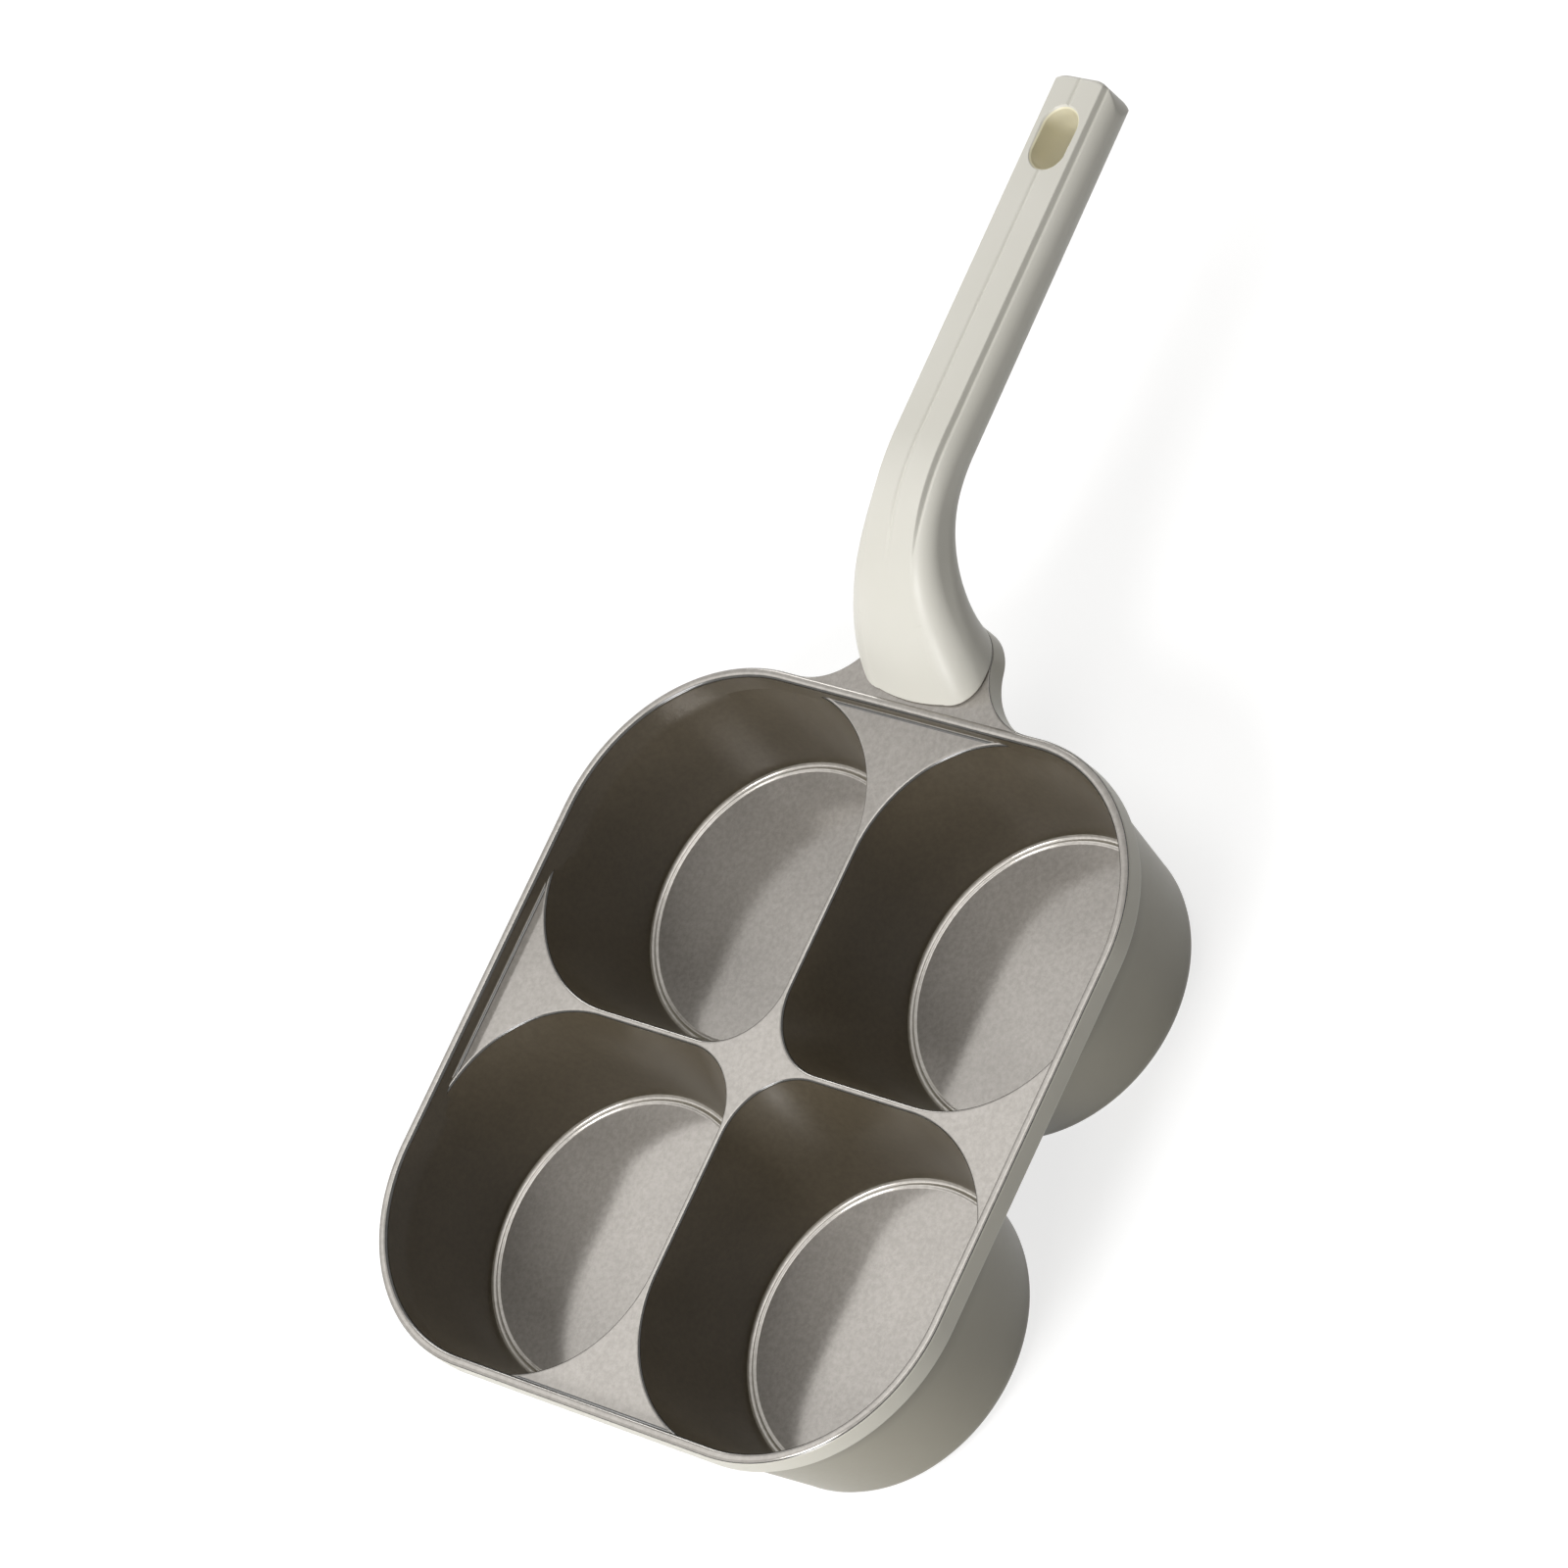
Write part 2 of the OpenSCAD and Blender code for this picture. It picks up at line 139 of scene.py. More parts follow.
# Half widths at which a section's top is cut: the crease, the panel, and the panel's edge
PANEL_XS = np.r_[
    (0, 0.15, 0.3, 0.45, 0.6, 0.8, 1.0),
    np.linspace(1.4, PANEL_HALF - 0.9, 12),
    PANEL_HALF + np.array((-0.6, -0.4, -0.25, -0.12, 0, 0.1, 0.2, 0.3, 0.4, 0.55, 0.75, 1.0)),
]

# Where the photograph's camera stands, from the middle of the rim's top, in millimetres
CAMERA_PLACE = (1314.7, -308.3, 1461.3)
CAMERA_X = (0.7202, 0.4203, -0.552)
CAMERA_Y = (-0.1994, 0.8875, 0.4155)
CAMERA_LENS = 172.1
CAMERA_SENSOR = 36.0
CAMERA_CLIP = (0.1, 50)

# How finely the smooth meshes are cut
CUP_N = 480
WALL_ROWS = 14
ARC_ROWS = 6
BEAD_ROWS = 9
CORNER_N = 72
CIRCLE_N = 64
RECESS_N = 128
KEY_N = 3
FLARE_N = 25
LUG_N = 33
LUG_ROWS = 5
SEAM_ROWS = 5
FLAT_ROWS = 5
ROLL_ROWS = 22
BELLY_ROWS = 25
HANDLE_ROWS = 150
GRIP_ROWS = 40
END_ROWS = 26
HANG_N = 49
HANG_ROWS = 8

# How far a cutter or a joined piece runs past the face that it meets, in millimetres
CUT = 1.0

# The coat's tints, darker and browner on the steep walls as painted shade and lighter on the bead as a
# painted highlight, its roughness, and the tones of the rest
COAT_TONES = ((0.33, 0.314, 0.292), (0.36, 0.343, 0.32), (0.39, 0.373, 0.35))
FLAT_TINT = (1.0, 0.985, 0.97)
WALL_SHADE_TINT = (0.27, 0.23, 0.165)
RING_HIGHLIGHT_TINT = (1.6, 1.59, 1.57)
FLAT_ROUGH = (0.11, 0.15)
WALL_ROUGH = (0.29, 0.33)
RING_ROUGH = (0.16, 0.22)
# Near-black for the edge line: real where the coat ends on the outer rounds, painted shade on the inner
# rounds and the fillet
EDGE_AND_SHADE_TONES = ((0.03, 0.028, 0.024), (0.05, 0.047, 0.04))
# The bowls' enamel is a darker copy of the band's, as painted shade; the band's lighter one is painted
# light
BOWL_SHADED_TONES = ((0.275, 0.255, 0.198), (0.293, 0.273, 0.214))
BAND_LIT_TONES = ((0.59, 0.57, 0.50), (0.61, 0.59, 0.52))
BARE_TONES = ((0.5, 0.49, 0.47), (0.6, 0.59, 0.57))
HANDLE_TONES = ((0.70, 0.685, 0.62), (0.725, 0.71, 0.65))
# A yellower, lighter cream for the inside of the hang hole: painted bounce light
HOLE_BOUNCE_TONES = ((0.85, 0.80, 0.60), (0.87, 0.82, 0.63))
DISC_TONES = ((0.5, 0.5, 0.5), (0.66, 0.66, 0.65))
PLATED_TONES = ((0.5, 0.5, 0.51), (0.62, 0.62, 0.62))
BRASS_TONES = ((0.6, 0.43, 0.17), (0.72, 0.54, 0.25))

# The casting's material slots, in order: coat, bowl enamel with painted shade, bare metal, edge line
# partly painted shade, walls with painted shade, ring with a painted highlight, band with painted light
COAT, SHADED_ENAMEL, BARE, EDGE_LINE_AND_SHADE, SHADED_WALL, HIGHLIGHT_RING, LIT_BAND = range(7)

# Upward parts of a face's normal that decide its finish, and where painted shade falls
UP_RISE = 0.75
STEEP_RISE = 0.5
INSIDE_RISE = -0.2
BASE_RISE = -0.9
ROUND_RISE = (0.3, 0.92)
FILLET_RISE = (0.7, 0.997)

# How near in millimetres a face's centre lies to the form whose finish, painted shade or painted light
# it takes
LUG_MARGIN = 0.05
LUG_EDGE_MARGIN = 2.0
BASE_MARGIN = 1.0
BAND_MARGIN = 0.1
GROOVE_MARGIN = 0.1
BEAD_MARGIN = 0.3
FLOOR_MARGIN = 0.01
HOLE_MARGIN = 0.3

# Angles in degrees above which an edge stays crisp
CASTING_CRISP = 30
HANDLE_CRISP = 40

# The studio, in metres: what lights the shadows, the floor, and the height that the lamps aim at
SURROUND = (0.13, 0.125, 0.11)
FLOOR_TONE = (0.4, 0.4, 0.4)
FLOOR_ROUGH = 0.9
FLOOR_GLOW = 0.75
FLOOR_HALF = 6.0
FLOOR_DROP = 0.0002
AIM_Z = 0.03
WHITE = (1, 1, 1, 1)

body_lo, body_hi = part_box("pan_body")
PAN_W = (body_hi.x - body_lo.x) / MM
PAN_Y = body_lo.y / MM + PAN_L / 2
RIM_Y = PAN_Y + PAN_L / 2
WEB_Z = PAN_H - WEB_DROP
BAND_Z = PAN_H - BAND_H
LUG_Z = PAN_H - LUG_DROP
CUP_HALF = ((PAN_W / 2 - RIM_T - RIDGE_W / 2) / 2, (PAN_L / 2 - RIM_T - RIDGE_W / 2) / 2)
CUP_AT = (CUP_HALF[0] + RIDGE_W / 2, CUP_HALF[1] + RIDGE_W / 2)
CUP_TURN = 2 * math.pi * np.arange(CUP_N) / CUP_N
FOOT_R = CUP_HALF[0] - CUP_LEAN
RIM_TRIM = EDGE_ROUND / 2
SCREW_AT = (0, RIM_Y + SCREW_REACH)
HANG_Y = RIM_Y + HANDLE_REACH - HANG_INSET
HANG_RUN = (HANG_L - HANG_W) / 2
QUADRANTS = ((1, 1), (-1, 1), (-1, -1), (1, -1))

# A painted shadow of the band darkens the bowls' enamel towards the band: over how many millimetres,
# to what share, and between which heights in metres
BAND_SHADOW_DEPTH = 6
BAND_SHADOW_SHARE = 0.72
BAND_SHADOW_ZONE = ((BAND_Z - BAND_SHADOW_DEPTH) * MM, BAND_Z * MM)


# Mesh tools

def quarter(rows):
    """Angles from 0 to 90 degrees in even steps."""
    return [math.radians(90 * k / rows) for k in range(rows + 1)]


def turns(rows):
    """Shares of a quarter turn's two legs, from (1, 0) to (0, 1)."""
    return [(1 - math.sin(a), 1 - math.cos(a)) for a in quarter(rows)]


def at_height(outline, z):
    return np.c_[outline, np.full(len(outline), z)]


def skin(name, rings):
    """A closed solid through rings of points, each ring with as many points, in millimetres."""
    rings = np.asarray(rings, float)
    m, n, _ = rings.shape
    i = np.arange(n)
    j = (np.arange(m - 1) * n)[:, None]
    k = np.roll(i, -1)
    quads = np.stack([j + i, j + k, j + n + k, j + n + i], -1).reshape(-1, 4)
    faces = [tuple(q) for q in quads.tolist()]
    faces += [tuple(i[::-1].tolist()), tuple(((m - 1) * n + i).tolist())]
    mesh = bpy.data.meshes.new(name)
    mesh.from_pydata((rings.reshape(-1, 3) * MM).tolist(), [], faces)
    work = bmesh.new()
    work.from_mesh(mesh)
    bmesh.ops.recalc_face_normals(work, faces=work.faces)
    work.to_mesh(mesh)
    work.free()
    piece = bpy.data.objects.new(name, mesh)
    bpy.context.collection.objects.link(piece)
    return piece


def prism(name, outline, low, high):
    return skin(name, [at_height(outline, z) for z in (low, high)])


def rounded_prism(name, outline_at, low, high, rounding):
    """A prism with both ends rounded: outline_at(inset) gives its outline, drawn in by inset."""
    levels = [(low + rounding * s, rounding * c) for s, c in turns(LUG_ROWS)[::-1]]
    levels += [(high - rounding * s, rounding * c) for s, c in turns(LUG_ROWS)]
    return skin(name, [at_height(outline_at(inset), z) for z, inset in levels])


def combine(piece, tool, operation):
    """Joins, cuts or trims a piece with a tool, which is used up."""
    step = piece.modifiers.new("step", "BOOLEAN")
    step.solver = "MANIFOLD"
    step.operation = operation
    step.object = tool
    graph = bpy.context.evaluated_depsgraph_get()
    mesh = bpy.data.meshes.new_from_object(piece.evaluated_get(graph))
    piece.modifiers.clear()
    piece.data = mesh
    bpy.data.objects.remove(tool)


def soften(piece, angle):
    """Smooth shading with crisp edges above an angle, and wide faces that keep their own normal."""
    piece.data.shade_smooth()
    piece.data.set_sharp_from_angle(angle=math.radians(angle))
    weights = piece.modifiers.new("weights", "WEIGHTED_NORMAL")
    weights.mode = "FACE_AREA"
    weights.keep_sharp = True


def rounded_rect(w, l, r, n=CORNER_N):
    """Outline of a rectangle with round corners, anticlockwise."""
    out = []
    for q, (sx, sy) in enumerate(QUADRANTS):
        for k in range(n + 1):
            a = math.radians(90 * (q + k / n))
            out.append((sx * (w / 2 - r) + r * math.cos(a), sy * (l / 2 - r) + r * math.sin(a)))
    return np.array(out)


def circle(d, n=CIRCLE_N):
    a = 2 * math.pi * np.arange(n) / n
    return np.c_[d / 2 * np.cos(a), d / 2 * np.sin(a)]


# The casting

def outline_reach(grow, trim):
    """Distance from a cup's centre to its opening's outline, for each direction in CUP_TURN."""
    c, s = np.cos(CUP_TURN), np.sin(CUP_TURN)
    u, v = np.abs(c), np.abs(s)
    hx = CUP_HALF[0] + grow + np.where(c >= 0, trim, 0)
    hy = CUP_HALF[1] + grow + np.where(s >= 0, trim, 0)
    outer = CORNER_R - RIM_T + RIM_TRIM
    inner = np.where((c < 0) & (s < 0), INNER_CORNER_R, SIDE_CORNER_R)
    r = np.where((c >= 0) & (s >= 0), outer, inner) + grow
    x, y = hx - r, hy - r
    k = u * x + v * y
    arc = k + np.sqrt(np.maximum(k * k - x * x - y * y + r * r, 0))
    with np.errstate(divide="ignore"):
        return np.where(hx * v <= y * u, hx / u, np.where(hy * u <= x * v, hy / v, arc))


def cup_ring(reach, z):
    """A ring at height z round a cup's centre, reach away from it."""
    return at_height(np.c_[reach * np.cos(CUP_TURN), reach * np.sin(CUP_TURN)], z)


def between(low, high, rows):
    """Rings of a straight wall from ring low to ring high, with neither end."""
    return [low + (high - low) * k / rows for k in range(1, rows)]


def cup_outside():
    """Rings of a cup's outside, from the rounded base up into the web."""
    r = FOOT_R + WALL_T
    rings = [cup_ring(r - BASE_ROUND * s, BASE_ROUND * c) for s, c in turns(ARC_ROWS)]
    top = cup_ring(outline_reach(WALL_T, 0), (BAND_Z + WEB_Z) / 2)
    return rings + between(rings[-1], top, WALL_ROWS) + [top]


def cup_inside():
    """Rings of a cup's inside: floor, raised bead, groove, foot, wall and rounded opening."""
    low = FLOOR_T - GROOVE_D
    groove_r = FOOT_R - FOOT_ROUND
    half = BEAD_W / 2
    rings = []
    for s in np.linspace(0, 1, BEAD_ROWS):
        z = FLOOR_T + BEAD_H * (1 - math.cos(math.pi * s)) / 2
        rings.append(cup_ring(groove_r - BEAD_W + half * s, z))
    for s in np.linspace(0, 1, BEAD_ROWS)[1:]:
        z = low + (GROOVE_D + BEAD_H) * (1 + math.cos(math.pi * s)) / 2
        rings.append(cup_ring(groove_r - half + half * s, z))
    for a in quarter(ARC_ROWS)[1:]:
        rings.append(cup_ring(groove_r + FOOT_ROUND * math.sin(a), low + FOOT_ROUND * (1 - math.cos(a))))
    edge = []
    for s, c in turns(ARC_ROWS):
        edge.append(cup_ring(outline_reach(EDGE_ROUND * c, RIM_TRIM), WEB_Z - EDGE_ROUND * s))
    rings += between(rings[-1], edge[0], WALL_ROWS)
    return rings + edge + [cup_ring(outline_reach(EDGE_ROUND, RIM_TRIM), PAN_H + CUT)]


def at_cup(rings, quadrant):
    """Rings moved to a quadrant of the pan and mirrored there."""
    sx, sy = quadrant
    rings = (np.array(rings) + (CUP_AT[0], CUP_AT[1], 0)) * (sx, sy, 1)
    return rings + (0, PAN_Y, 0)


def pan_outline(inset):
    outline = rounded_rect(PAN_W - 2 * inset, PAN_L - 2 * inset, CORNER_R - inset)
    return outline + (0, PAN_Y)


def tray():
    """Rim, band and web as one solid."""
    rows = [(BAND_ROUND * s, BAND_Z + BAND_ROUND * c) for s, c in turns(ARC_ROWS)]
    rows += [(RIM_ROUND * c, PAN_H - RIM_ROUND * s) for s, c in turns(ARC_ROWS)]
    rows += [(RIM_T - RIM_ROUND * s, PAN_H - RIM_ROUND * c) for s, c in turns(ARC_ROWS)]
    rows += [(RIM_T + WEB_FILLET * c, WEB_Z + WEB_FILLET * s) for s, c in turns(ARC_ROWS)]
    return skin("tray", [at_height(pan_outline(inset), z) for inset, z in rows])


def lug_outline(inset):
    """Lug in plan, with flares to the rim, drawn in by inset on its free sides."""
    corner_r, flare_r = LUG_CORNER_R - inset, FLARE_R + inset
    corner = np.array((ROOT_W / 2 - LUG_CORNER_R, LUG_LEN - LUG_CORNER_R))
    flare = np.array((0.0, FLARE_R))
    flare[0] = corner[0] + math.sqrt((LUG_CORNER_R + FLARE_R) ** 2 - (FLARE_R - corner[1]) ** 2)
    turn = math.atan2(flare[1] - corner[1], flare[0] - corner[0])
    right = [(flare[0], -RIM_T / 2)]
    for a in np.linspace(-math.pi / 2, turn - math.pi, FLARE_N):
        right.append((flare[0] + flare_r * math.cos(a), flare[1] + flare_r * math.sin(a)))
    for a in np.linspace(turn, math.pi / 2, LUG_N):
        right.append((corner[0] + corner_r * math.cos(a), corner[1] + corner_r * math.sin(a)))
    right = np.array(right)
    outline = np.r_[right, right[::-1] * (-1, 1)]
    return outline + (0, RIM_Y)


def disc_name(quadrant):
    return f"base_disc_{QUADRANTS.index(quadrant) + 1}"


def add_lug(body):
    """Joins the lug, its boss and its key to the casting."""
    combine(body, rounded_prism("lug", lug_outline, BAND_Z, LUG_Z, LUG_ROUND), "UNION")
    boss = circle(BOSS_D) + SCREW_AT
    combine(body, prism("boss", boss, LUG_Z - CUT, LUG_Z + BOSS_H), "UNION")
    key = rounded_rect(KEY_L, KEY_W, KEY_CORNER_R, KEY_N) + SCREW_AT
    combine(body, prism("key", key, LUG_Z - CUT, LUG_Z + BOSS_H), "UNION")


def cut_cup(body, quadrant):
    """Cuts a cup's inside, trimmed at the rim, and the recess for its base disc."""
    hollow = skin("hollow", at_cup(cup_inside(), quadrant))
    combine(hollow, prism("space", pan_outline(RIM_T), -CUT, PAN_H + 2 * CUT), "INTERSECT")
    combine(body, hollow, "DIFFERENCE")
    lo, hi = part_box(disc_name(quadrant))
    disc_at = ((lo.x + hi.x) / 2 / MM, (lo.y + hi.y) / 2 / MM)
    recess = circle((hi.x - lo.x) / MM + 2 * DISC_GAP, RECESS_N) + disc_at
    combine(body, prism("recess", recess, -CUT, hi.z / MM + DISC_GAP), "DIFFERENCE")


def make_casting():
    body = tray()
    for quadrant in QUADRANTS:
        combine(body, skin("wall", at_cup(cup_outside(), quadrant)), "UNION")
    add_lug(body)
    for quadrant in QUADRANTS:
        cut_cup(body, quadrant)
    hole = circle(SCREW_HOLE_D) + SCREW_AT
    combine(body, prism("hole", hole, BAND_Z - CUT, PAN_H + BOSS_H + 2 * CUT), "DIFFERENCE")
    body.name = "coated_casting"
    finish_casting(body)
    soften(body, CASTING_CRISP)
    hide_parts("pan_body")
    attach(body, "root")


def within(values, low, high):
    return (values > low) & (values < high)


def casting_slots(centre, normal):
    """Slot of each face by its centre, in millimetres, and normal: coat inside, enamel outside, with
    painted shade on steep walls, rounds, fillet and bowls, a painted highlight on the ring and painted
    light on the band.
    """
    rise, z = normal[:, 2], centre[:, 2]
    across = centre[:, :2] - (0, PAN_Y)
    outward = (normal[:, :2] * np.sign(across) * (np.abs(across) - CUP_AT)).sum(1)
    lug = centre[:, 1] > RIM_Y + LUG_MARGIN
    inward = (outward < 0) & ~lug
    up = rise > UP_RISE
    outer_edge = (z > LUG_Z - LUG_EDGE_MARGIN) & (rise > STEEP_RISE) & ~up & ((outward > 0) | lug)
    opening_or_rim = within(z, WEB_Z - EDGE_ROUND, WEB_Z) | (z > PAN_H - RIM_ROUND)
    # Inner rounds of the openings and rim, and the web's fillet below, take a near-black coat: painted
    # shade
    shaded_round_edge = inward & within(rise, *ROUND_RISE) & opening_or_rim
    fillet = inward & within(rise, *FILLET_RISE) & within(z, WEB_Z, WEB_Z + WEB_FILLET / 2)
    ring = within(z, FLOOR_T - GROOVE_D - GROOVE_MARGIN, FLOOR_T + BEAD_H + BEAD_MARGIN)
    ring = ring & (np.abs(z - FLOOR_T) > FLOOR_MARGIN)
    slots = np.where(up | inward & (rise > INSIDE_RISE), COAT, SHADED_ENAMEL)
    slots[(z < BASE_MARGIN) & (rise < BASE_RISE)] = BARE
    slots[outer_edge] = EDGE_LINE_AND_SHADE
    coated = slots == COAT
    # Steep walls take a darker, browner coat: painted shade
    slots[coated & (rise < STEEP_RISE)] = SHADED_WALL
    # The bead and its groove take a much lighter coat: painted highlight
    slots[coated & ring] = HIGHLIGHT_RING
    slots[coated & (shaded_round_edge | fillet)] = EDGE_LINE_AND_SHADE
    # Enamel on the band and lug is lighter than on the bowls: painted light
    slots[(slots == SHADED_ENAMEL) & (z > BAND_Z - BAND_MARGIN)] = LIT_BAND
    return slots


def finish_casting(body):
    """Gives the casting its finishes, one slot for each, some of them with painted shade or light in
    their colour.
    """
    mesh = body.data
    mesh.materials.clear()
    mesh.materials.append(coat_material("coat", FLAT_TINT, FLAT_ROUGH, metal=0.35, gloss=0.5))
    mesh.materials.append(enamel_material("enamel", BOWL_SHADED_TONES, band_shadow=True))
    mesh.materials.append(bare_material())
    mesh.materials.append(coat_edge_and_shade_material())
    mesh.materials.append(coat_material("coat_wall_painted_shade", WALL_SHADE_TINT, WALL_ROUGH, metal=0.1, gloss=0.85))
    mesh.materials.append(coat_material("coat_ring_painted_highlight", RING_HIGHLIGHT_TINT, RING_ROUGH, metal=0.4, gloss=0.5))
    mesh.materials.append(enamel_material("band_enamel_painted_light", BAND_LIT_TONES, band_shadow=False))
    centre = np.empty(len(mesh.polygons) * 3)
    normal = np.empty(len(mesh.polygons) * 3)
    mesh.polygons.foreach_get("center", centre)
    mesh.polygons.foreach_get("normal", normal)
    slots = casting_slots(centre.reshape(-1, 3) / MM, normal.reshape(-1, 3))
    mesh.polygons.foreach_set("material_index", slots.astype(np.int32))


# The handle

def bezier(shares, t):
    a, b, c, d = shares
    return a * (1 - t) ** 3 + 3 * b * t * (1 - t) ** 2 + 3 * c * t * t * (1 - t) + d * t ** 3


def blend(start, end, share):
    return start + (end - start) * share


def ease(t):
    """0 to 1 as t goes from 0 to 1, with a soft start and end."""
    t = np.clip(t, 0, 1)
    return t * t * (3 - 2 * t)


def front_line(t):
    """Reach and rise of the handle's top side: t is 0 at the root, 1 at the bend and 2 at the end."""
    if t <= 1:
        reach = SLIP + bezier(FRONT_REACH, t) * (BEND_REACH - SLIP)
        return np.array((reach, bezier(FRONT_RISE, t) * GRIP_RISE))
    return np.array((blend(BEND_REACH, HANDLE_REACH, t - 1), GRIP_RISE + GRIP_CLIMB * (t - 1)))


def back_line(t):
    """Reach and rise of the handle's underside, for the same t."""
    low = GRIP_RISE - GRIP_T
    if t <= 1:
        reach = blend(LUG_LEN, BACK_BEND_REACH, bezier(BACK_REACH, t))
        return np.array((reach, bezier(BACK_RISE, t) * low))
    reach = blend(BACK_BEND_REACH, HANDLE_REACH, t - 1)
    return np.array((reach, low + (GRIP_CLIMB + GRIP_TAPER) * (t - 1)))


def section_top(x, half, top, r, bow):
    """Height of a section's plain top at distances x from its middle."""
    flat = half - r
    crown = top + bow * (1 - (x / flat) ** 2)
    roll = top - r + np.sqrt(np.maximum(r * r - (x - flat) ** 2, 0))
    return np.where(x <= flat, crown, roll)


def panel_top(plain, h, raised):
    """Height of a section's top at PANEL_XS, its panel raised out of the plain top by a share."""
    high = h / 2 - CREASE_D / 2 * (PANEL_XS / PANEL_HALF) ** 2
    high = high - CREASE_D * np.exp(-(PANEL_XS / CREASE_W) ** 2)
    drop = ease((PANEL_XS - (PANEL_HALF - STEP_LEAD)) / (STEP_RUN + STEP_LEAD))
    high = high * (1 - drop) + np.minimum(high, plain) * drop
    gutter = GUTTER_D * np.exp(-((PANEL_XS - PANEL_HALF - STEP_RUN - GUTTER_IN) / GUTTER_W) ** 2)
    return plain * (1 - raised) + (high - gutter) * raised


def half_section(half, h, rt, rb, bow, raised):
    """Right half of a section, from the middle of the top to the middle of the bottom.

    It has as many points whatever its size: with no flat beside the panel, the roll takes that flat's.
    """
    top = h / 2 - PANEL_STEP * raised - bow
    last, flat = PANEL_XS[-1], half - rt
    if last < flat:
        flats = np.linspace(last, flat, FLAT_ROWS + 1)[1:]
        start, rows = math.pi / 2, ROLL_ROWS
    else:
        flats = np.empty(0)
        start, rows = math.acos(min(1.0, max(0.0, (last - half + rt) / rt))), ROLL_ROWS + FLAT_ROWS
    ys = panel_top(section_top(PANEL_XS, half, top, rt, bow), h, raised)
    a = np.linspace(start, 0, rows + 1)[1:]
    b = np.linspace(0, -math.pi / 2, BELLY_ROWS + 1)
    return np.r_[
        np.c_[PANEL_XS, ys],
        np.c_[flats, section_top(flats, half, top, rt, bow)],
        np.c_[flat + rt * np.cos(a), top - rt + rt * np.sin(a)],
        np.c_[half - rb + rb * np.cos(b), rb - h / 2 + rb * np.sin(b)],
    ]


def handle_ring(t, inset):
    """The handle's section at t, drawn in by inset, square to the line between its two sides."""
    f, b = front_line(t), back_line(t)
    h = float(np.linalg.norm(f - b))
    up = (f - b) / h
    mid = (f + b) / 2
    s = ease(t / ROOT_SHARE)
    raised = ease((t - PANEL_SHARE) / PANEL_RUN)
    half = blend(ROOT_W, GRIP_W, s) / 2 - inset
    rt = max(blend(ROOT_FRONT_R, SHOULDER_R, s) - inset, 1)
    rb = max(blend(LUG_CORNER_R, BELLY_R, s) - inset, 1)
    right = half_section(half, h - 2 * inset, rt, rb, ROOT_BOW * (1 - s), raised)
    full = np.r_[right, right[1:][::-1] * (-1, 1)]
    return np.c_[full[:, 0], mid[0] + up[0] * full[:, 1], mid[1] + up[1] * full[:, 1]]


def round_off(ring, gap):
    """Draws a ring in where the handle's end rounds off in plan; gap is its distance from the end."""
    ring = ring.copy()
    r, e = END_CORNER_R, END_ROUND
    dy = max(r - gap, 0)
    wide = GRIP_W / 2 - r + math.sqrt(max(r * r - dy ** 2, 0))
    ring[:, 0] = np.clip(ring[:, 0], -wide, wide)
    dx = np.maximum(np.abs(ring[:, 0]) - (GRIP_W / 2 - r), 0)
    near = np.minimum(r - np.sqrt(dx ** 2 + dy ** 2), gap) if dy else np.full(len(ring), gap)
    near = np.clip(near, 0, e)
    drop = e - np.sqrt(np.maximum(e * e - (e - near) ** 2, 0))
    top = GRIP_RISE + GRIP_CLIMB
    low = top - GRIP_T + GRIP_TAPER
    ring[:, 2] = np.clip(ring[:, 2], low + drop * END_BELLY / e, top - drop)
    return ring


def hang_outline(grow):
    """Outline of the hang hole, a slot with round ends, widened by grow."""
    r = HANG_W / 2 + grow
    a = np.linspace(-math.pi / 2, math.pi / 2, HANG_N)
    right = np.c_[r * np.sin(a) * -1, HANG_RUN + r * np.cos(a)]
    return np.r_[right, -right] + (0, HANG_Y)


def hang_hole():
    """Cutter for the hang hole, flared where it meets the faces, so that the hole's edge is round."""
    at = (HANDLE_REACH - HANG_INSET - BEND_REACH) / (HANDLE_REACH - BEND_REACH)
    high = LUG_Z + GRIP_RISE + GRIP_CLIMB * at
    low = high - GRIP_T + GRIP_TAPER * at
    e = HANG_ROUND
    rows = [(low - 2 * CUT, e)]
    rows += [(low + e * math.sin(a), e * (1 - math.sin(a))) for a in quarter(HANG_ROWS)]
    rows += [(high - e * math.cos(a), e * (1 - math.cos(a))) for a in quarter(HANG_ROWS)]
    rows.append((high + 2 * CUT, e))
    return skin("hang", [at_height(hang_outline(grow), z) for z, grow in rows])


def handle_skin():
    """The handle's outside, from the seam along the S-curve to the rounded end."""
    rings = [handle_ring(0, SEAM_IN), handle_ring(SEAM_SHARE, SEAM_IN)]
    for a in quarter(SEAM_ROWS):
        rings.append(handle_ring(SEAM_SHARE * (2 - math.cos(a)), SEAM_LIP * (1 - math.sin(a))))
    for t in np.linspace(PLAIN_SHARE, 1, HANDLE_ROWS):
        rings.append(handle_ring(t, 0))
    run = HANDLE_REACH - BEND_REACH
    for t in np.linspace(1, 2 - END_RUN / run, GRIP_ROWS)[1:]:
        rings.append(handle_ring(t, 0))
    for k in range(END_ROWS):
        gap = END_RUN * (1 - (k + 1) / END_ROWS) ** 2
        rings.append(round_off(handle_ring(2 - gap / run, 0), gap))
    return skin("moulded_handle", np.array(rings) + (0, RIM_Y, LUG_Z))


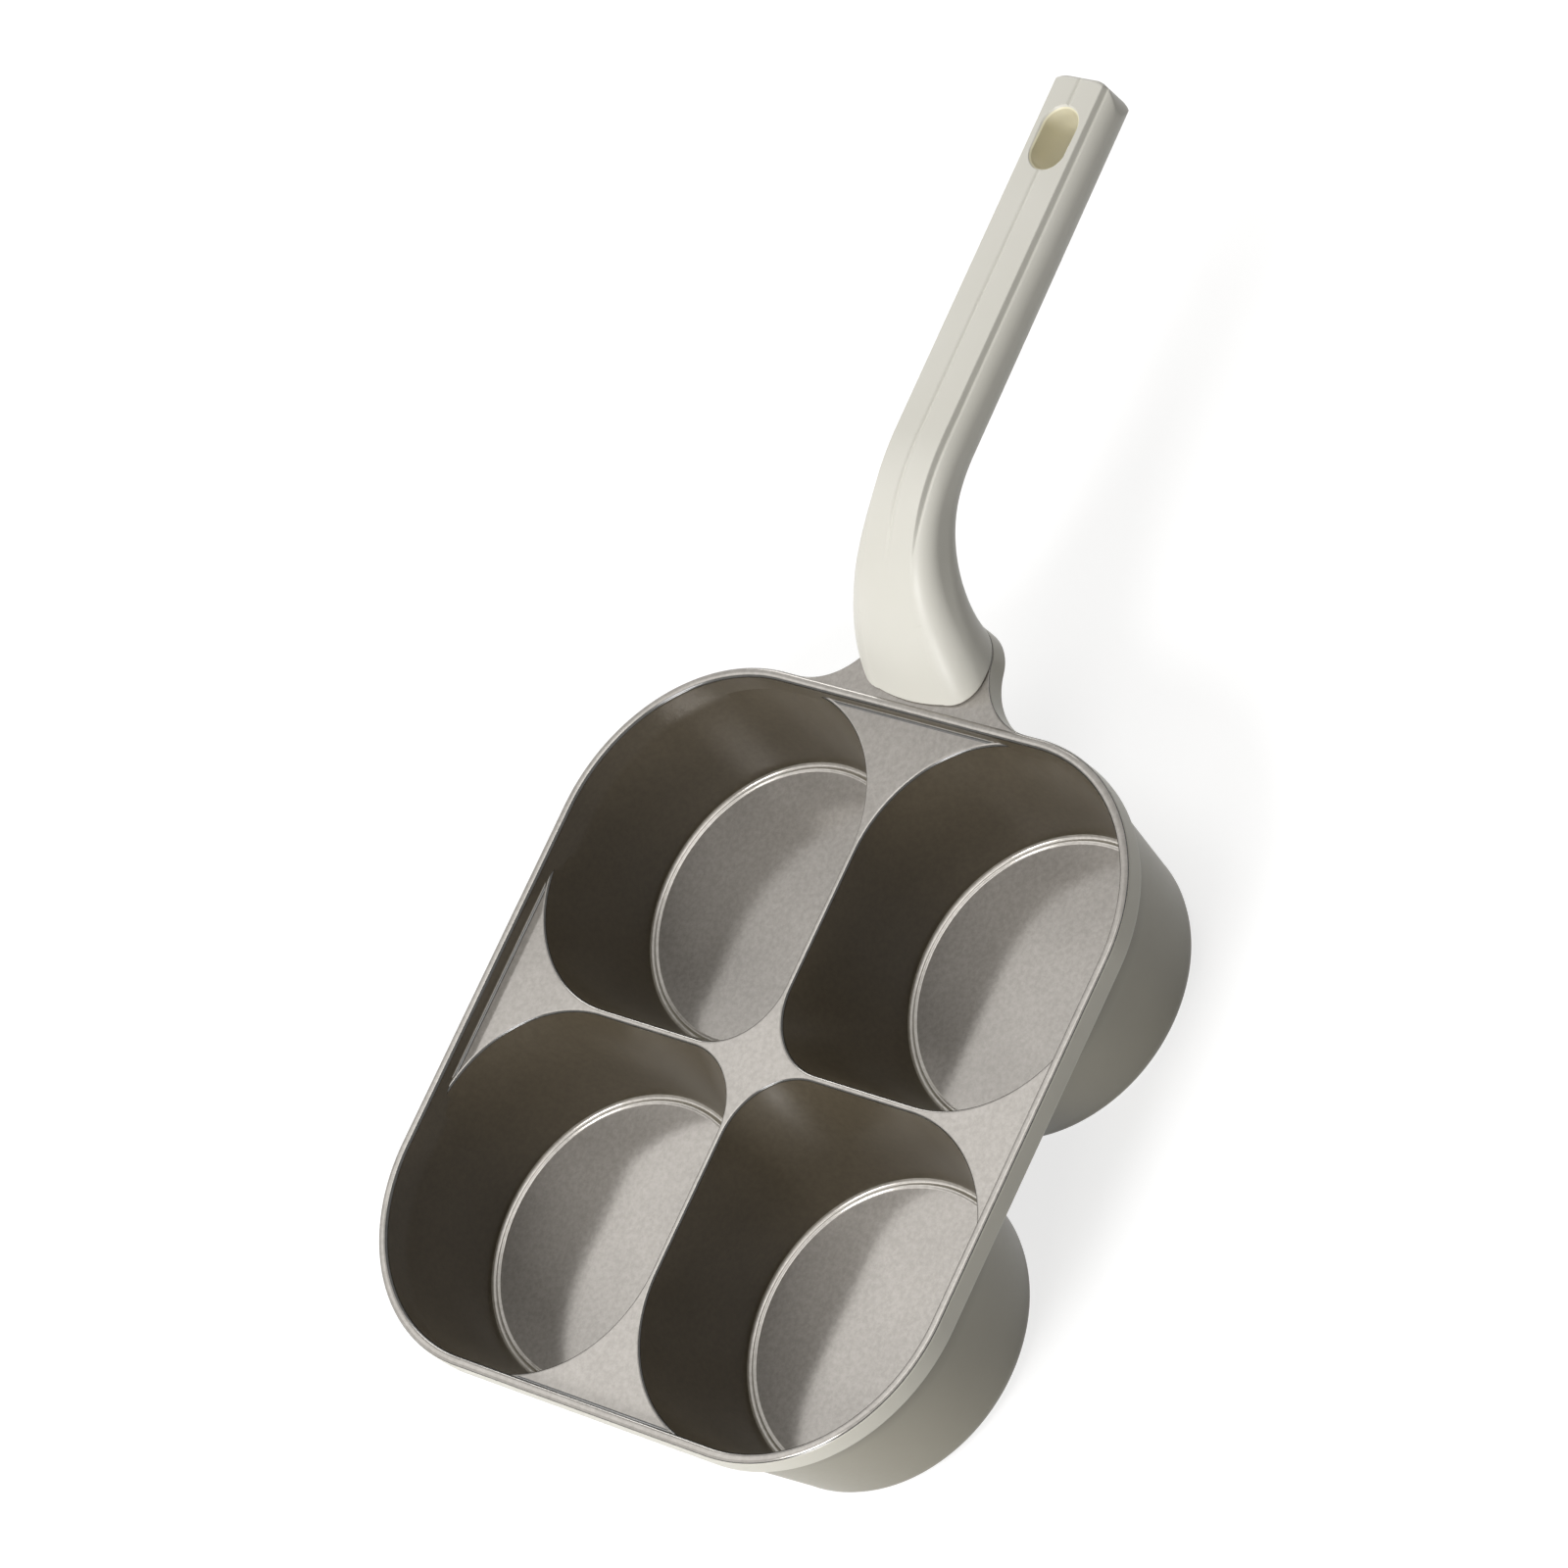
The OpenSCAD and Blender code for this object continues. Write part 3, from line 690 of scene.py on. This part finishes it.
def cut_root(handle):
    """Cuts the root's pocket and slot for the lug's boss and key, and the insert's bore."""
    top = LUG_Z + BOSS_H + SLIP
    pocket = circle(BOSS_D + 2 * SLIP) + SCREW_AT
    combine(handle, prism("pocket", pocket, LUG_Z - CUT, top), "DIFFERENCE")
    slot = rounded_rect(KEY_L + 2 * SLIP, KEY_W + 2 * SLIP, KEY_CORNER_R, KEY_N) + SCREW_AT
    combine(handle, prism("slot", slot, LUG_Z - CUT, top), "DIFFERENCE")
    bore = circle(BORE_D) + SCREW_AT
    combine(handle, prism("bore", bore, top - CUT, top + BORE_L), "DIFFERENCE")


def make_handle():
    handle = handle_skin()
    combine(handle, hang_hole(), "DIFFERENCE")
    cut_root(handle)
    handle.data.materials.clear()
    handle.data.materials.append(handle_material("cream_plastic", HANDLE_TONES))
    handle.data.materials.append(handle_material("cream_painted_bounce_in_hole", HOLE_BOUNCE_TONES))
    # Faces inside the hang hole take the yellower, lighter cream: painted bounce light
    for face in handle.data.polygons:
        x, y = face.center.x / MM, face.center.y / MM - HANG_Y
        if math.hypot(x, max(0, abs(y) - HANG_RUN)) < HANG_W / 2 + HOLE_MARGIN:
            face.material_index = 1
    soften(handle, HANDLE_CRISP)
    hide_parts("handle")
    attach(handle, "root")


# Materials

class Nodes:
    """A new material, and short ways to add and link its shader nodes."""

    def __init__(self, name):
        self.material = bpy.data.materials.new(name)
        self.material.use_nodes = True
        self.tree = self.material.node_tree
        self.shader = self.tree.nodes["Principled BSDF"]
        self.place = self.add("ShaderNodeTexCoord").outputs["Object"]

    def add(self, kind, **values):
        node = self.tree.nodes.new(kind)
        for key, value in values.items():
            setattr(node, key, value)
        return node

    def link(self, source, target):
        self.tree.links.new(source, target)

    def noise(self, scale, detail=2.0, roughness=0.5, place=None):
        node = self.add("ShaderNodeTexNoise")
        node.inputs["Scale"].default_value = scale
        node.inputs["Detail"].default_value = detail
        node.inputs["Roughness"].default_value = roughness
        self.link(place or self.place, node.inputs["Vector"])
        return node.outputs["Fac"]

    def ramp(self, value, *stops):
        """Colours by value, from stops of a position and a colour."""
        node = self.add("ShaderNodeValToRGB")
        elements = node.color_ramp.elements
        while len(elements) < len(stops):
            elements.new(0.5)
        for element, (at, color) in zip(elements, stops):
            element.position = at
            element.color = (*color, 1)
        self.link(value, node.inputs["Fac"])
        return node.outputs["Color"]

    def mottle(self, value, tones):
        """One tone to another, by a noise's value."""
        return self.ramp(value, (0.3, tones[0]), (0.7, tones[1]))

    def multiply(self, a, b):
        """One colour times another, each a socket or a plain colour."""
        node = self.add("ShaderNodeMix", data_type="RGBA", blend_type="MULTIPLY")
        node.inputs[0].default_value = 1.0
        for socket, value in ((node.inputs[6], a), (node.inputs[7], b)):
            if isinstance(value, bpy.types.NodeSocket):
                self.link(value, socket)
            else:
                socket.default_value = (*value, 1)
        return node.outputs[2]

    def span(self, value, low, high, start=0.0, end=1.0):
        """A value between start and end, carried over to one between low and high."""
        node = self.add("ShaderNodeMapRange")
        node.inputs["From Min"].default_value = start
        node.inputs["From Max"].default_value = end
        node.inputs["To Min"].default_value = low
        node.inputs["To Max"].default_value = high
        self.link(value, node.inputs["Value"])
        return node.outputs["Result"]

    def bump(self, height, strength, distance):
        node = self.add("ShaderNodeBump")
        node.inputs["Strength"].default_value = strength
        node.inputs["Distance"].default_value = distance
        self.link(height, node.inputs["Height"])
        self.link(node.outputs["Normal"], self.shader.inputs["Normal"])

    def set(self, **values):
        for key, value in values.items():
            socket = self.shader.inputs[key.replace("_", " ")]
            if isinstance(value, bpy.types.NodeSocket):
                self.link(value, socket)
            else:
                socket.default_value = value


def grey(v):
    return (v, v, v)


def coat_material(name, tint, rough, metal, gloss):
    """Non-stick coat: a warm grey with some metal in it, glossy, with faint mottling and flecks, times a
    tint that is painted shade on the walls and a painted highlight on the ring.
    """
    n = Nodes(name)
    fleck = n.noise(scale=650, detail=3, roughness=0.6)
    speck = n.noise(scale=2200)
    patch = n.noise(scale=70, detail=3)
    dark, mid, pale = COAT_TONES
    base = n.ramp(fleck, (0.36, dark), (0.5, mid), (0.66, pale))
    shade = n.mottle(patch, (grey(0.96), grey(1.03)))
    fine = n.ramp(speck, (0.35, grey(0.97)), (0.65, grey(1.03)))
    color = n.multiply(n.multiply(base, shade), fine)
    n.set(Base_Color=n.multiply(color, tint), Roughness=n.span(fleck, *rough), Metallic=metal)
    n.set(Specular_IOR_Level=gloss)
    n.bump(fleck, strength=0.02, distance=0.0003)
    return n.material


def coat_edge_and_shade_material():
    """Thin dark glossy line on the rounded edges of openings, rim and lug, and on the web's fillet: a
    real line where the coat ends on the outer rounds, painted shade on the inner rounds and the fillet.
    """
    n = Nodes("coat_edge_and_painted_shade")
    patch = n.noise(scale=500)
    n.set(Base_Color=n.mottle(patch, EDGE_AND_SHADE_TONES))
    n.set(Roughness=n.span(patch, 0.14, 0.2), Specular_IOR_Level=0.9)
    return n.material


def enamel_material(name, tones, band_shadow):
    """Outer enamel: a plain warm grey, satin, with a faint orange-peel, and, when asked, a painted
    shadow just below the band.
    """
    n = Nodes(name)
    patch = n.noise(scale=40, detail=3)
    peel = n.noise(scale=700)
    color = n.mottle(patch, tones)
    if band_shadow:
        # Painted shadow of the band: the enamel darkens with height towards it
        height = n.add("ShaderNodeSeparateXYZ")
        n.link(n.place, height.inputs[0])
        share = n.span(height.outputs["Z"], 0, 1, *BAND_SHADOW_ZONE)
        color = n.multiply(color, n.ramp(share, (0.0, grey(1)), (1.0, grey(BAND_SHADOW_SHARE))))
    n.set(Base_Color=color, Roughness=n.span(peel, 0.34, 0.42), Metallic=0.0)
    n.bump(peel, strength=0.04, distance=0.0003)
    return n.material


def bare_material():
    """Machined ring round each base disc."""
    n = Nodes("bare_base")
    patch = n.noise(scale=900)
    n.set(Base_Color=n.mottle(patch, BARE_TONES), Roughness=n.span(patch, 0.3, 0.42), Metallic=0.9)
    n.bump(patch, strength=0.05, distance=0.0002)
    return n.material


def handle_material(name, tones):
    """Moulded plastic: pale cream, satin, with a very fine mould grain."""
    n = Nodes(name)
    patch = n.noise(scale=30, detail=3)
    grain = n.noise(scale=1800, roughness=0.6)
    n.set(Base_Color=n.mottle(patch, tones), Roughness=n.span(grain, 0.36, 0.44))
    n.bump(grain, strength=0.05, distance=0.0002)
    return n.material


def metal_material(name, tones, rough, scale, stretch=(1, 1, 1)):
    """Bare metal with fine marks, which are lines where stretch draws them out."""
    n = Nodes(name)
    mapping = n.add("ShaderNodeMapping")
    mapping.inputs["Scale"].default_value = stretch
    n.link(n.place, mapping.inputs["Vector"])
    lines = n.noise(scale=scale, detail=3, roughness=0.6, place=mapping.outputs["Vector"])
    n.set(Base_Color=n.mottle(lines, tones), Metallic=1.0)
    n.set(Roughness=n.span(lines, rough, rough + 0.12))
    n.bump(lines, strength=0.08, distance=0.0002)
    return n.material


def dress_nodes():
    """Finishes of the CAD pieces that stay."""
    finishes = {
        "disc_steel": metal_material("brushed_disc", DISC_TONES, 0.26, 900, stretch=(0.04, 1, 1)),
        "fastener_steel": metal_material("plated_steel", PLATED_TONES, 0.28, 1500),
        "insert_brass": metal_material("turned_brass", BRASS_TONES, 0.28, 1500),
    }
    for part in frame["record"]["subparts"]:
        finish = finishes.get(part["material_slot"])
        if finish is None:
            continue
        node = frame["nodes"][part["node"]]
        if not node.material_slots:
            node.data.materials.append(finish)
        for holder in node.material_slots:
            holder.material = finish


# The studio

def make_camera():
    data = bpy.data.cameras.new("camera")
    data.lens = CAMERA_LENS
    data.sensor_width = CAMERA_SENSOR
    data.clip_start, data.clip_end = CAMERA_CLIP
    camera = bpy.data.objects.new("camera", data)
    x, y = Vector(CAMERA_X).normalized(), Vector(CAMERA_Y).normalized()
    turn = Matrix((x, y, x.cross(y))).transposed()
    camera.matrix_world = turn.to_4x4()
    place = Vector(CAMERA_PLACE) + Vector((0, PAN_Y, PAN_H))
    camera.location = place * MM
    bpy.context.collection.objects.link(camera)
    bpy.context.scene.camera = camera


def soft_light(name, place, size, radiance):
    """A round softbox aimed at the pan, as bright as radiance wherever it is seen."""
    aim = Vector((0, PAN_Y * MM, AIM_Z))
    data = bpy.data.lights.new(name, "AREA")
    data.shape = "DISK"
    data.size = size
    data.energy = radiance * math.pi * math.pi * size * size / 4
    light = bpy.data.objects.new(name, data)
    light.location = aim + Vector(place)
    light.rotation_mode = "QUATERNION"
    light.rotation_quaternion = (-Vector(place)).to_track_quat("-Z", "Y")
    bpy.context.collection.objects.link(light)


def make_lights():
    soft_light("key", place=(-0.90, -0.11, 1.43), size=1.1, radiance=1.3)
    soft_light("top", place=(0.0, 0.1, 1.6), size=1.0, radiance=2.5)
    soft_light("front", place=(0.02, -1.06, 1.06), size=0.6, radiance=13.0)
    soft_light("low", place=(0.36, -1.42, 0.28), size=0.46, radiance=16.0)
    soft_light("back", place=(-0.9, 1.1, 0.6), size=0.6, radiance=5.0)


def seen_or_mirrored(tree):
    """1 for rays from the camera, from a gloss or through glass, and 0 for the light itself."""
    path = tree.nodes.new("ShaderNodeLightPath")
    seen = path.outputs["Is Camera Ray"]
    for kind in ("Is Glossy Ray", "Is Transmission Ray"):
        either = tree.nodes.new("ShaderNodeMath")
        either.operation = "MAXIMUM"
        tree.links.new(seen, either.inputs[0])
        tree.links.new(path.outputs[kind], either.inputs[1])
        seen = either.outputs[0]
    return seen


def make_world():
    """White where it is seen or mirrored, and a dim warm surround that lights the rest."""
    world = bpy.data.worlds.new("studio")
    world.use_nodes = True
    bpy.context.scene.world = world
    tree = world.node_tree
    background = tree.nodes["Background"]
    tint = tree.nodes.new("ShaderNodeMix")
    tint.data_type = "RGBA"
    tint.inputs[6].default_value = (*SURROUND, 1)
    tint.inputs[7].default_value = WHITE
    tree.links.new(seen_or_mirrored(tree), tint.inputs[0])
    tree.links.new(tint.outputs[2], background.inputs["Color"])
    background.inputs["Strength"].default_value = 1.0


def floor_material():
    """White where it is seen or mirrored, as a glow on top of a grey that takes the shadow."""
    n = Nodes("floor")
    n.set(Base_Color=(*FLOOR_TONE, 1), Roughness=FLOOR_ROUGH)
    glow = n.add("ShaderNodeEmission")
    glow.inputs["Color"].default_value = WHITE
    share = n.add("ShaderNodeMath", operation="MULTIPLY")
    share.inputs[1].default_value = FLOOR_GLOW
    n.link(seen_or_mirrored(n.tree), share.inputs[0])
    n.link(share.outputs[0], glow.inputs["Strength"])
    both = n.add("ShaderNodeAddShader")
    n.link(n.shader.outputs[0], both.inputs[0])
    n.link(glow.outputs[0], both.inputs[1])
    n.link(both.outputs[0], n.tree.nodes["Material Output"].inputs["Surface"])
    return n.material


def make_floor():
    mesh = bpy.data.meshes.new("floor")
    s = FLOOR_HALF
    mesh.from_pydata([(-s, -s, 0), (s, -s, 0), (s, s, 0), (-s, s, 0)], [], [(0, 1, 2, 3)])
    floor = bpy.data.objects.new("floor", mesh)
    floor.location.z = -FLOOR_DROP
    bpy.context.collection.objects.link(floor)
    mesh.materials.append(floor_material())


def main():
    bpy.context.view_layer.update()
    bpy.context.scene.view_settings.view_transform = "Standard"
    make_camera()
    make_casting()
    make_handle()
    dress_nodes()
    make_lights()
    make_world()
    make_floor()


main()
